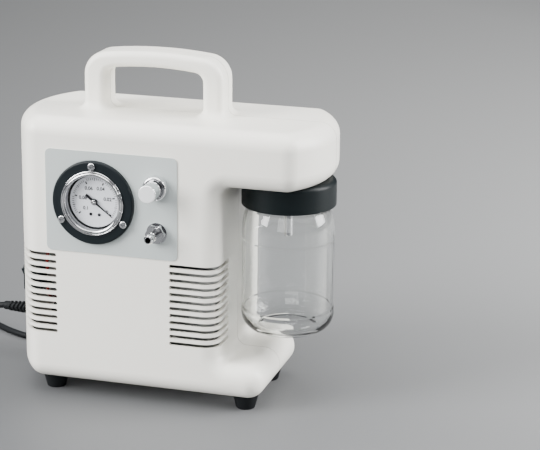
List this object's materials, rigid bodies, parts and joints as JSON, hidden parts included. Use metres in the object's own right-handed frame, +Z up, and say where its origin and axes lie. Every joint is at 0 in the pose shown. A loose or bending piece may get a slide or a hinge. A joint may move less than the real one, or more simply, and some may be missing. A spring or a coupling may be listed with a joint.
{
  "type": "suction pump",
  "caption": "Portable dry aspirator: diaphragm vacuum pump in a moulded housing with handle, vacuum gauge, bleed valve, hose tail and screw-on glass jar.",
  "frame": {"origin": "on the floor under the middle of the pump, without its cord", "axes": "+Z up, the control panel faces -Y, the jar is on the +X side"},
  "size_m": [0.391, 0.2411, 0.2849],
  "materials": {
    "housing": "moulded, fine satin",
    "panel_film": "satin",
    "black_plastic": "satin",
    "cap_plastic": "satin",
    "black_rubber": "matt",
    "chrome": "polished",
    "steel": "zinc plated",
    "brass": "machined",
    "clear_glass": "clear",
    "jar_glass": "clear moulded glass",
    "dial": "matt print",
    "needle": "matt black",
    "laminated_steel": "varnished laminations",
    "copper": "enamelled wire",
    "cast_alloy": "die-cast",
    "capacitor": "smooth",
    "terminal_plastic": "satin",
    "sintered": "matt",
    "hose_rubber": "smooth silicone",
    "lead_insulation": "smooth PVC",
    "cord_sheath": "smooth PVC sheath"
  },
  "bodies": {
    "root": {"front_cover": "housing", "rear_cover": "housing", "housing_screws": "steel", "rubber_feet": "black_rubber", "foot_screws": "steel", "foot_nuts": "steel", "control_panel": "panel_film", "gauge_case": "black_plastic", "gauge_bezel": "chrome", "gauge_lens": "clear_glass", "gauge_dial": "dial", "gauge_movement": "brass", "gauge_screws": "chrome", "valve_body": "brass", "valve_nut": "chrome", "hose_tail": "chrome", "hose_tail_nuts": "chrome", "switch_body": "black_plastic", "jar_cap": "cap_plastic", "jar_inlet_pipe": "chrome", "jar_outlet_pipe": "chrome", "pipe_nuts": "brass", "motor_stator": "laminated_steel", "motor_windings": "copper", "fan_end_bracket": "cast_alloy", "pump_end_bracket": "cast_alloy", "motor_bearings": "steel", "motor_bolts": "steel", "diaphragm": "black_rubber", "crankcase": "cast_alloy", "crankcase_cover": "steel", "valve_plate": "cast_alloy", "valve_flaps": "steel", "pump_head": "cast_alloy", "head_screws": "steel", "chassis_plate": "steel", "rubber_isolators": "black_rubber", "run_capacitor": "capacitor", "terminal_block": "terminal_plastic", "exhaust_silencer": "sintered", "hose_tee": "terminal_plastic", "vacuum_hoses": "hose_rubber", "motor_leads": "lead_insulation", "strain_relief": "black_rubber", "mains_cord": "cord_sheath", "mains_cord_coil": "cord_sheath", "plug_body": "cord_sheath", "plug_pins": "brass"},
    "gauge_pointer": {"gauge_needle": "needle"},
    "bleed_knob": {"control_knob": "chrome"},
    "rocker": {"switch_rocker": "black_plastic"},
    "rotor": {"motor_rotor": "laminated_steel", "motor_shaft": "steel", "cooling_fan": "black_plastic", "crank_eccentric": "steel", "eccentric_bearing": "steel"},
    "rod": {"connecting_rod": "cast_alloy", "diaphragm_clamp": "steel"},
    "jar_seal": {"jar_gasket": "black_rubber"},
    "jar": {"glass_jar": "jar_glass"}
  },
  "joints": [
    {"name": "jar_lower", "type": "slide", "parent": "root", "child": "jar_seal", "axis": [0, 0, -1], "range_m": [0, 0.0091]},
    {"name": "jar_turn", "type": "hinge", "parent": "jar_seal", "child": "jar", "pos_m": [0.093, 0.0115, 0.17], "axis": [0, 0, -1], "range_deg": [0, 540]},
    {"name": "knob_turn", "type": "hinge", "parent": "root", "child": "bleed_knob", "pos_m": [0, -0.06, 0.186], "axis": [0, -1, 0], "range_deg": [0, 1080]},
    {"name": "rocker_tilt", "type": "hinge", "parent": "root", "child": "rocker", "pos_m": [-0.1285, -0.001, 0.087], "axis": [0, 1, 0], "range_deg": [0, 20]},
    {"name": "pointer_turn", "type": "hinge", "parent": "root", "child": "gauge_pointer", "pos_m": [-0.0526, -0.046, 0.1695], "axis": [0, -1, 0], "range_deg": [0, 256]},
    {"name": "motor_spin", "type": "hinge", "parent": "root", "child": "rotor", "pos_m": [0, 0.0115, 0.076], "axis": [1, 0, 0], "continuous": true, "deforming": ["diaphragm"]},
    {"name": "rod_pivot", "type": "hinge", "parent": "rotor", "child": "rod", "pos_m": [0.0135, 0.0115, 0.079], "axis": [1, 0, 0], "continuous": true, "deforming": ["diaphragm"]}
  ],
  "couplings": [
    {"joint": "jar_lower", "follows": "jar_turn", "m_per_rad": 0.00095493},
    {"joint": "rod_pivot", "follows": "motor_spin", "ratio": -1}
  ]
}
